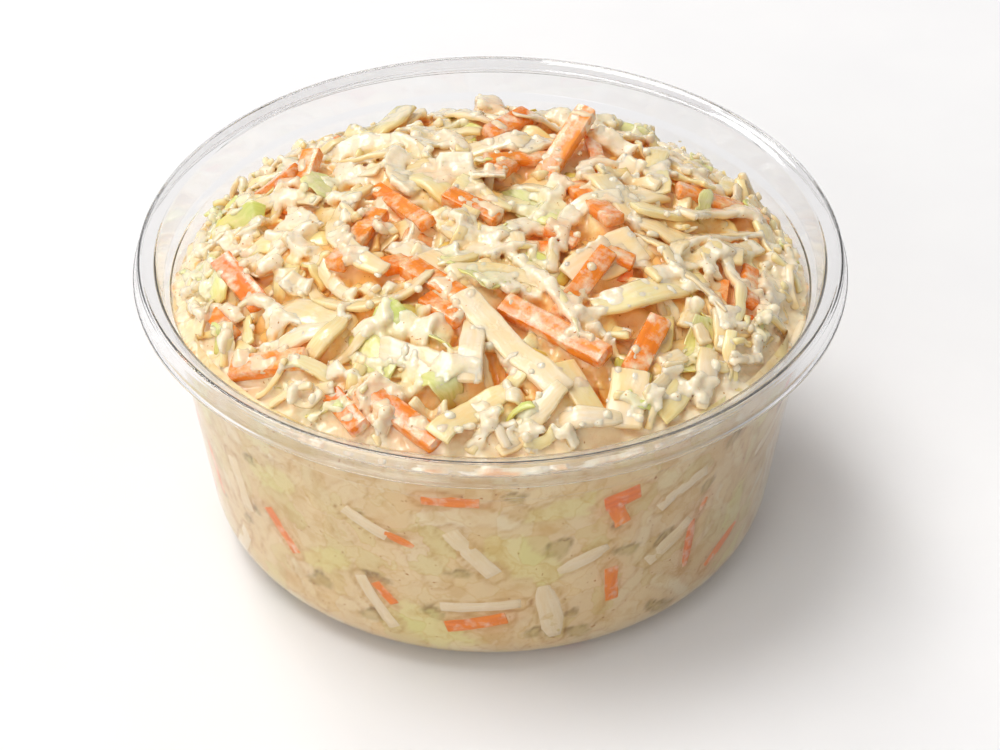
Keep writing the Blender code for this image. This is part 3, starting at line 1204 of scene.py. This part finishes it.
def footprint(lining, angle, run, heading, length, width):
    """Cells of a pressed shred on a map of whole degrees and millimetres."""
    around = max(float(np.interp(run, lining.run, lining.radius)), 4.0)
    wide = 0.5 * (length * abs(math.cos(heading)) + width) / around
    high = 0.5 * (length * abs(math.sin(heading)) + width)
    rows = np.arange(int(math.degrees(angle - wide)), int(math.degrees(angle + wide)) + 1) % 360
    columns = np.arange(max(int(run - high), 0), min(int(run + high) + 1, 119))
    return np.ix_(rows, columns)


def fill_wall(lining, count):
    """Presses the pieces of the front, then a loose pattern of shreds all round."""
    taken = np.zeros((360, 120), bool)
    for kind, angle, run, heading, length, width, curl in WALL_PIECES:
        crisp = kind != "leaf"
        angle, heading = math.radians(angle), math.radians(heading)
        press_kind(lining, kind, angle, run, heading, length, width, curl, crisp)
        taken[footprint(lining, angle, run, heading, length, width)] = True
    kinds = ("carrot", "strip", "rib", "leaf")
    lengths = {"carrot": (3, 11), "strip": (6, 16), "rib": (5, 12), "leaf": (5, 10)}
    widths = {"carrot": (1.6, 3.2), "strip": (2.0, 3.8), "rib": (2.6, 4.6), "leaf": (4, 8)}
    top = lining.run_at(46.0)
    for _ in range(count):
        run = top * math.sqrt(random.uniform(0.004, 1.0))
        angle = random.uniform(0, 2 * math.pi)
        front = math.radians(212) < angle < math.radians(335) and run > 45
        kind = random.choice(kinds, p=(0.0, 0.6, 0.3, 0.1) if front else (0.22, 0.46, 0.16, 0.16))
        heading = random.uniform(0, math.pi)
        length, width = random.uniform(*lengths[kind]), random.uniform(*widths[kind])
        block = footprint(lining, angle, run, heading, length, width)
        if taken[block].mean() > (0.4 if front else 0.3):
            continue
        crisp = kind != "leaf" and not front and random.uniform() < 0.5
        curl = random.normal(0, 0.4 if kind == "strip" else 0.1)
        if press_kind(lining, kind, angle, run, heading, length, width, curl, crisp) is not None:
            taken[block] = True


def flat_distance(lining, angle, run, place):
    """Distance along the wall from grid points to one place of angle and run."""
    around = np.interp(run, lining.run, lining.radius)
    turn = np.mod(angle - place[0] + math.pi, 2 * math.pi) - math.pi
    return turn * around, run - place[1]


def paint_wall(lining, angle, run):
    """Colour of the lining: mottled cream, tinted by the shreds just behind it, with a thin line of
    painted shade round each shred.
    """
    flat = wall_place(angle, run)
    colour = np.ones(angle.shape + (3,)) * np.array(WALL_CREAM)
    mottle = lattice_noise(flat, 7.0, 41) + 0.6 * lattice_noise(flat, 2.6, 43)
    colour = colour * (1 - 0.11 * np.clip(mottle + 0.2, 0, 1.5)[..., None] * np.array([0.35, 0.7, 1.3]))
    colour = colour + 0.035 * np.clip(-mottle, 0, 1)[..., None]
    wobble = 0.5 * lattice_noise(flat, 1.6, 42)
    for shred in lining.shreds:
        centre = shred.flat[len(shred.flat) // 2]
        reach = 0.6 * np.linalg.norm(np.diff(shred.points, axis=0), axis=1).sum() + 6.0
        dx, dy = flat_distance(lining, angle, run, centre)
        near = (np.abs(dx) < reach) & (np.abs(dy) < reach)
        if not near.any():
            continue
        gap = np.full(near.sum(), 99.0)
        around = np.maximum(np.interp(shred.flat[:, 1], lining.run, lining.radius), 4.0)
        steps = np.column_stack([(shred.flat[:, 0] - centre[0]) * around, shred.flat[:, 1] - centre[1]])
        for k in range(len(steps) - 1):
            along = steps[k + 1] - steps[k]
            x, y = dx[near] - steps[k][0], dy[near] - steps[k][1]
            share = np.clip((x * along[0] + y * along[1]) / (along @ along), 0, 1)
            aside = np.hypot(x - share * along[0], y - share * along[1])
            gap = np.minimum(gap, aside - shred.flat_width[k])
        gap = gap + wobble[near] * (2.2 if shred.kind == "leaf" else 1.0)
        inner = np.clip(0.5 - gap / 0.35, 0, 1) * (0.0 if shred.crisp else 0.85)
        # A thin line of painted shade runs round each shred's edge.
        line = (0.34 if shred.crisp else 0.2) * np.exp(-((gap - 0.15) / 0.32) ** 2)[:, None]
        colour[near] = colour[near] * (1 - line * np.array([0.6, 1.0, 1.5]))
        paint = np.array(WALL_PAINTS[shred.kind]) * (1 - shred.fade * np.array([0.4, 0.8, 1.6]))
        halo = {"carrot": 0.26, "leaf": 0.3}.get(shred.kind, 0.0) * np.exp(-np.clip(gap, 0, 9) / 1.3)
        weight = np.maximum(inner, halo * (1 - inner))[:, None]
        colour[near] = colour[near] * (1 - weight) + paint * weight
    return colour


def pocket_depth(lining, angle, run, count):
    """Depth of the air gaps against the wall and the shade along their edges, 0 to 1."""
    flat = wall_place(angle, run)
    warp = 0.45 * lattice_noise(flat, 1.5, 51) + 0.3 * lattice_noise(flat, 0.8, 52)
    depth = np.zeros(angle.shape)
    shade = np.zeros(angle.shape)
    pockets = [(math.radians(a), b, math.radians(c), d, e) for a, b, c, d, e in WALL_POCKETS]
    total = lining.run_at(40.0)
    for _ in range(count):
        turn, length = random.uniform(0, math.pi), random.uniform(1.2, 4.5)
        place = random.uniform(0, 2 * math.pi), random.uniform(37, total)
        pockets.append((*place, turn, length, length * random.uniform(0.4, 0.8)))
    for centre, level, turn, length, width in pockets:
        dx, dy = flat_distance(lining, angle, run, (centre, level))
        near = (np.abs(dx) < 6) & (np.abs(dy) < 6)
        u = dx[near] * math.cos(turn) + dy[near] * math.sin(turn)
        v = -dx[near] * math.sin(turn) + dy[near] * math.cos(turn)
        a, b = 0.55 * length, 0.55 * width
        lean = 1 + 0.35 * u / a
        shape = (np.abs(u / a) ** 3 + np.abs(v / (b * np.clip(lean, 0.4, 2))) ** 3) ** (1 / 3)
        gap = (shape - 1) * min(a, b) + warp[near] * min(1.0, width / 2.5)
        depth[near] = np.maximum(depth[near], np.clip(-gap / 0.3, 0, 1))
        upper = np.clip(0.55 + 0.5 * dy[near] / b, 0.15, 1)
        shade[near] = np.maximum(shade[near], np.exp(-((gap + 0.25) / 0.3) ** 2) * upper)
    return depth, shade


def lining_sheet(lining, angle, run, depth, colour):
    """Points, faces and tints of a grid of places on the wall, closed round the cup."""
    points, _ = lining.place(angle, run, depth)
    index = np.arange(angle.size).reshape(angle.shape)
    after = np.roll(index, -1, axis=0)
    faces = np.stack([index[:, :-1], after[:, :-1], after[:, 1:], index[:, 1:]], -1)
    tint = np.concatenate([colour, np.ones(colour.shape[:-1] + (1,))], -1)
    return points.reshape(-1, 3), faces.reshape(-1, 4).tolist(), tint.reshape(-1, 4)


def make_lining(lining, material):
    """The dressing seen through the wall, as one sheet just inside the plastic."""
    around = int(2 * math.pi * LINING_RADIUS / LINING_SPACING)
    rows = int(lining.run_at(44.0) / LINING_SPACING * 0.6)
    angles = np.arange(around) * 2 * math.pi / around
    top = lining.run_at(lining.contact(angles) - 1.7)
    share = np.linspace(0, 1, rows)
    run = LINING_START + (top[:, None] - LINING_START) * share
    angle = np.repeat(angles[:, None], rows, 1)
    colour = paint_wall(lining, angle, run)
    pocket, edge = pocket_depth(lining, angle, run, 50)
    # The air gaps are painted darker as painted shade, and a painted shadow runs along their upper
    # edges.
    colour = colour * (1 - pocket[..., None] * np.array([0.18, 0.20, 0.36]))
    colour = colour * (1 - edge[..., None] * np.array([0.50, 0.60, 0.74]))
    depth = 0.1 * pocket - REACH
    # The two rows at each edge turn inwards, into the salad.
    upper = np.clip((share - (1 - 2.0 / rows)) * rows / 2.0, 0, 1)
    lower = np.clip((2.0 / rows - share) * rows / 2.0, 0, 1)
    depth = depth + 2.5 * upper + 2.0 * lower
    points, faces, tint = lining_sheet(lining, angle, run, depth, colour)
    add_salad_piece("dressing_wall", points, faces, material, {"tint": tint})


def make_underside(lining, material):
    """The dressing seen through the floor of the cup."""
    spokes, rings = 180, 40
    angles = np.arange(spokes) * 2 * math.pi / spokes
    angle, run = np.meshgrid(angles, np.linspace(1.0, LINING_START + 2.0, rings), indexing="ij")
    radius = np.interp(run, lining.run, lining.radius)
    flat = np.stack([radius * np.cos(angle), run * np.sin(angle), run * 0], -1)
    depth = 0.05 * lattice_noise(flat, 2.5, 62) - REACH
    points, faces, tint = lining_sheet(lining, angle, run, depth, paint_wall(lining, angle, run))
    middle = len(points)
    centre, _ = lining.place(np.zeros(1), np.zeros(1), np.array([-REACH]))
    for spoke in range(spokes):
        faces.append((middle, (spoke + 1) % spokes * rings, spoke * rings))
    tint = np.vstack([tint, tint[:1]])
    add_salad_piece("dressing_floor", np.vstack([points, centre]), faces, material, {"tint": tint})


# Food materials ----------------------------------------------------------------------------


def grain_vector(net, scale):
    """Coordinates that run along a shred, for streaks and veins."""
    inputs = {"Scale": scale, "Vector": attribute_node(net, "grain").outputs["Color"]}
    return add_node(net, "Mapping", inputs).outputs["Vector"]


def painted_shade_value(net):
    return attribute_node(net, "grain").outputs["Alpha"]


def seed_value(net):
    grain = attribute_node(net, "grain").outputs["Color"]
    return add_node(net, "SeparateColor", {0: grain}).outputs[2]




def smeared(net, colour, amount, size):
    """Soft cream smears over a colour: amount 0 is bare. Returns the colour and the mask."""
    patch = noise_node(net, 1.0 / (size * MM), 4.0, roughness=0.6)
    inputs = {"Value": patch, "From Min": 0.60 - amount, "From Max": 0.84 - amount, "To Max": 0.85}
    mask = add_node(net, "MapRange", inputs).outputs[0]
    return mix_node(net, mask, colour, CREAM), mask


def shred_material(name):
    """Cut vegetable: tone by piece, streaks along its length, smears, and a warm painted shade where it
    lies deep and on its sides and underside.
    """
    look = SHRED_LOOKS[name]
    material, net, shader = new_material(name)
    drift = math_node(net, "SUBTRACT", noise_node(net, 130.0, 2.0), 0.5)
    drift = math_node(net, "MULTIPLY", drift, 0.9)
    factor = math_node(net, "ADD", seed_value(net), drift, clamp=True)
    tone = ramp_node(net, factor, [(place, linear(*colour)) for place, colour in look["tones"]])
    lines = noise_node(net, 6.0, 3.0, grain_vector(net, (2.2, 5.0, 9.0)))
    shade = ramp_node(net, lines, [(0.35, look["streak"]), (0.62, WHITE)])
    tinted = multiply_node(net, tone, shade)
    colour, mask = smeared(net, tinted, look["smear"], 2.6)
    # Painted shade: warmer and darker the deeper the point lies.
    stops = [(0.0, WHITE), (0.5, (1.0, 0.88, 0.62)), (1.0, (1.0, 0.66, 0.28))]
    deep = ramp_node(net, painted_shade_value(net), stops)
    net.links.new(multiply_node(net, colour, deep), shader.inputs["Base Color"])
    set_wet(shader, look["roughness"], look["scatter"], look["radius"], 1.2 * MM)
    if name.startswith("pressed"):
        set_pressed(shader)
    height = math_node(net, "ADD", math_node(net, "MULTIPLY", lines, 0.5), mask)
    net.links.new(bump_node(net, height, 0.5, 0.0003), shader.inputs["Normal"])
    return material


def pepper(net):
    """White with a few small brown specks."""
    grains = noise_node(net, 1300.0, 1.0)
    return ramp_node(net, grains, [(0.73, (1, 1, 1)), (0.77, (0.62, 0.36, 0.14))])


def dressing_material():
    """Cream dressing, tinted by what it touches and by its painted shade, finely curdled."""
    material, net, shader = new_material("dressing")
    tint = attribute_node(net, "tint").outputs["Color"]
    curds = noise_node(net, 900.0, 3.0, roughness=0.6)
    # The hollows of the curds are painted in shade.
    shade = ramp_node(net, curds, [(0.3, (0.96, 0.92, 0.84)), (0.6, (1.0, 1.0, 1.0))])
    colour = multiply_node(net, tint, shade)
    net.links.new(multiply_node(net, colour, pepper(net)), shader.inputs["Base Color"])
    set_wet(shader, 0.22, 0.6, (1.0, 0.82, 0.58), 1.5 * MM)
    net.links.new(bump_node(net, curds, 0.4, 0.0004), shader.inputs["Normal"])
    return material


def wall_material():
    """Dressing pressed against the plastic: a mosaic of cream tones with flecks and seams."""
    material, net, shader = new_material("dressing_wall")
    here = object_coordinates(net)
    warp = add_node(net, "TexNoise", {"Scale": 300.0, "Vector": here}).outputs["Color"]
    inputs = {0: warp, 1: (0.005, 0.005, 0.005), 2: here}
    place = add_node(net, "VectorMath", inputs, operation="MULTIPLY_ADD").outputs[0]
    inputs = {"Scale": 190.0, "Vector": place}
    cells = add_node(net, "TexVoronoi", inputs).outputs["Color"]
    edges = add_node(net, "TexVoronoi", inputs, feature="DISTANCE_TO_EDGE").outputs["Distance"]
    stops = [
        (0.0, (0.97, 0.90, 0.74)),
        (0.35, WHITE),
        (0.6, (0.98, 0.93, 0.80)),
        (0.8, (0.93, 0.95, 0.74)),
        (1.0, (1.0, 0.97, 0.92)),
    ]
    pieces = ramp_node(net, add_node(net, "SeparateColor", {0: cells}).outputs[0], stops)
    seams = ramp_node(net, edges, [(0.0, (0.93, 0.87, 0.74)), (0.045, WHITE)])
    mottle = ramp_node(net, noise_node(net, 260.0, 3.0), [(0.36, (0.91, 0.83, 0.68)), (0.50, WHITE)])
    colour = attribute_node(net, "tint").outputs["Color"]
    for layer in (pieces, seams, mottle, pepper(net)):
        colour = multiply_node(net, colour, layer)
    set_inputs(shader, {"Base Color": colour})
    set_wet(shader, 0.3, 0.25, (1.0, 0.7, 0.38), 0.8 * MM)
    set_pressed(shader)
    return material


# What each kind of shred looks like: display colours over its tones, the streaks along it,
# how much cream is smeared on it, and how light passes under its skin.
SHRED_LOOKS = {
    "carrot": {
        "tones": ((0, (246, 140, 28)), (0.5, (250, 154, 44)), (1, (240, 128, 24))),
        "streak": (0.86, 0.74, 0.6),
        "smear": 0.16,
        "scatter": 0.35,
        "radius": (1.0, 0.4, 0.12),
        "roughness": 0.27,
    },
    "cabbage": {
        "tones": (
            (0, (250, 226, 184)),
            (0.3, (251, 231, 206)),
            (0.55, (250, 221, 168)),
            (0.8, (245, 230, 178)),
            (1, (251, 228, 192)),
        ),
        "streak": (0.98, 0.93, 0.80),
        "smear": 0.06,
        "scatter": 0.5,
        "radius": (1.0, 0.88, 0.7),
        "roughness": 0.25,
    },
    "cabbage_leaf": {
        "tones": ((0, (228, 228, 150)), (0.6, (240, 236, 176)), (1, (214, 220, 128))),
        "streak": (0.86, 0.9, 0.68),
        "smear": 0.08,
        "scatter": 0.45,
        "radius": (1.0, 0.95, 0.6),
        "roughness": 0.27,
    },
    "pressed_carrot": {
        "tones": ((0, (250, 142, 8)), (0.5, (253, 152, 18)), (1, (246, 130, 6))),
        "streak": (0.88, 0.78, 0.62),
        "smear": 0.10,
        "scatter": 0.0,
        "radius": (1.0, 0.6, 0.3),
        "roughness": 0.3,
    },
    "pressed_cabbage": {
        "tones": ((0, (242, 222, 182)), (0.5, (244, 228, 198)), (1, (240, 220, 176))),
        "streak": (0.96, 0.91, 0.80),
        "smear": 0.10,
        "scatter": 0.0,
        "radius": (1.0, 0.75, 0.5),
        "roughness": 0.3,
    },
}


# Building ----------------------------------------------------------------------------------

DRESSING_FLOOR = 36.0  # the dressing's surface is made from this height up
BAND_EDGES = (-13.0, 12.0)
# How likely each kind is: carrot, strip, rib, leaf, crumb.
ODDS_UNDER = (0.10, 0.50, 0.12, 0.10, 0.18)
ODDS_ON_TOP = (0.05, 0.60, 0.06, 0.07, 0.22)
# Name, kind of shred and look of each piece, sizes and heights of the relief on its surface,
# the angle in degrees from which an edge is sharp, and the points round each shred.
SHRED_PIECES = (
    ("carrot_sticks", "carrot", "carrot", ((2.0, 0.12), (0.8, 0.05)), 40, 14),
    ("cabbage_strips", "strip", "cabbage", ((4.0, 0.5), (1.6, 0.2), (0.8, 0.07)), None, 10),
    ("cabbage_crumbs", "crumb", "cabbage", ((2.0, 0.45), (0.9, 0.14)), None, 8),
    ("cabbage_ribs", "rib", "cabbage", ((4.0, 0.25), (1.0, 0.08)), 40, 14),
    ("cabbage_leaves", "leaf", "cabbage_leaf", ((3.0, 1.0), (1.2, 0.3)), None, 14),
    ("pressed_carrots", "pressed_carrot", "pressed_carrot", ((2.0, 0.1),), 40, 14),
    ("pressed_cabbage", "pressed_cabbage", "pressed_cabbage", ((2.2, 0.10), (0.9, 0.05)), None, 10),
)


def toward(tint, colour, share):
    """Colours of points, mixed with another colour by a share for each point."""
    return tint * (1 - share) + np.array(colour) * share


def dressing_tint(mound, inside, near, points):
    """Cream on top, with a warm painted shade where the dressing lies deep and in creases, tinted by
    carrots and leaves.
    """
    carrot = np.clip(1 - sample(near["carrot"], points) / 2.0, 0, 1)[:, None] * 0.5
    leaf = np.clip(1 - sample(near["leaf"], points) / 1.6, 0, 1)[:, None] * 0.5
    place = plan_index(points[:, 0], points[:, 1])
    cover = np.minimum(blurred(mound.height, COVER_BLUR), mound.target + 0.5)[place]
    # The painted shade stays weaker near the wall, where light comes in through the plastic.
    wall = np.clip((np.hypot(points[:, 0], points[:, 1]) - RIM_ZONE) / 4.0, 0, 1)
    deep = np.clip((cover - points[:, 2] - 0.7) / 2.4, 0, 1) * (1 - 0.85 * wall)
    # Creases between the tops get painted shade as well.
    top = mound.height.copy()
    np.maximum.at(top, place, points[:, 2])
    crease = np.clip((blurred(top, 3.0)[place] - points[:, 2] + 0.1) / 1.4, 0, 1)
    deep = np.maximum(deep, (0.75 - 0.55 * wall) * crease)[:, None]
    # The tint runs from cream through the warm painted shade to the deep painted shade.
    tint = np.array(CREAM) + (np.array(WARM_SHADE) - np.array(CREAM)) * np.clip(2 * deep, 0, 1)
    tint = tint + (np.array(DEEP_SHADE) - np.array(WARM_SHADE)) * np.clip(2 * deep - 1, 0, 1)
    tint = toward(toward(tint, NEAR_CARROT, carrot), NEAR_LEAF, leaf)
    # Where it touches the plastic it takes the lining's tones.
    touch = np.clip((sample(inside, points) + 0.6) / 0.3, 0, 1)[:, None]
    blotch = np.clip(0.5 + lattice_noise(points, 3.0, 71), 0, 1)[:, None]
    tint = toward(tint, toward(np.array(WALL_PAINTS["strip"]), WALL_PAINTS["carrot"], blotch), touch)
    return np.hstack([tint, np.ones((len(points), 1))])


def make_dressing(mound, inside, lining, material):
    """The dressing on top in three bands from front to back, which replace the CAD salad."""
    field, near = dressing_field(mound, inside, lining)
    field = add_curds(field, mound, 1500, 0.0, SALAD_RADIUS, 0.0)
    field = add_curds(field, mound, 300, 48.2, 51.2, 0.4)
    points, faces = surface_of(field, DRESSING_FLOOR)
    tint = dressing_tint(mound, inside, near, points)
    faces = np.array([face if len(face) == 4 else (*face, face[2]) for face in faces])
    band = np.digitize(points[faces[:, 0], 1], BAND_EDGES)
    for number, name in enumerate(("dressing_front", "dressing_middle", "dressing_back")):
        used, index = np.unique(faces[band == number], return_inverse=True)
        loops = [list(dict.fromkeys(face)) for face in index.reshape(-1, 4).tolist()]
        piece = add_salad_piece(name, points[used], loops, material, {"tint": tint[used]})
        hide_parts("coleslaw")


section = cup_section()
make_cup(section)
chain = inside_chain(section)
inside = cup_distance(chain)

mound = Mound(mound_map(), chain)
lay_random(mound, 1500, ODDS_UNDER, 5, -1.4)
lay_main(mound)
lay_random(mound, 1500, ODDS_ON_TOP, 2, 0.5)
lay_rim(mound, 900)
find_cavities(mound)
lining = Lining(inside_chain(rounded(section)), mound.target)
fill_wall(lining, 4000)

make_dressing(mound, inside, lining, dressing_material())
pressed_cream = wall_material()
make_lining(lining, pressed_cream)
make_underside(lining, pressed_cream)

kinds = {}
for shred in mound.shreds:
    kinds.setdefault(shred.kind, []).append(shred)
for shred in lining.shreds:
    if shred.crisp:
        kinds.setdefault("pressed_" + shred.kind, []).append(shred)
kinds["pressed_cabbage"] = kinds["pressed_strip"] + kinds["pressed_rib"]
looks = {name: shred_material(name) for name in SHRED_LOOKS}
for name, kind, look, rough, sharp, count in SHRED_PIECES:
    make_shreds(name, kinds[kind], looks[look], rough, sharp, count)

add_floor()
add_world()
add_area("key", (-0.68, 0.12, 1.75), (0, 0, 0.02), 1.0, 16.0, (1.0, 0.985, 0.97))
add_area("fill", (-0.8, -1.3, 0.6), (0, 0, 0.02), 1.2, 6.2, (1.0, 0.99, 0.98))
add_area("glint", (-0.42, 0.62, 0.95), (0, 0, 0.05), 0.3, 2.5, (1.0, 0.99, 0.97))
add_camera()

scene = bpy.context.scene
scene.view_settings.view_transform = "Standard"
scene.view_settings.look = "None"
scene.cycles.max_bounces = 16
scene.cycles.diffuse_bounces = 8
scene.cycles.transmission_bounces = 12
scene.cycles.transparent_max_bounces = 12
scene.cycles.use_denoising = True
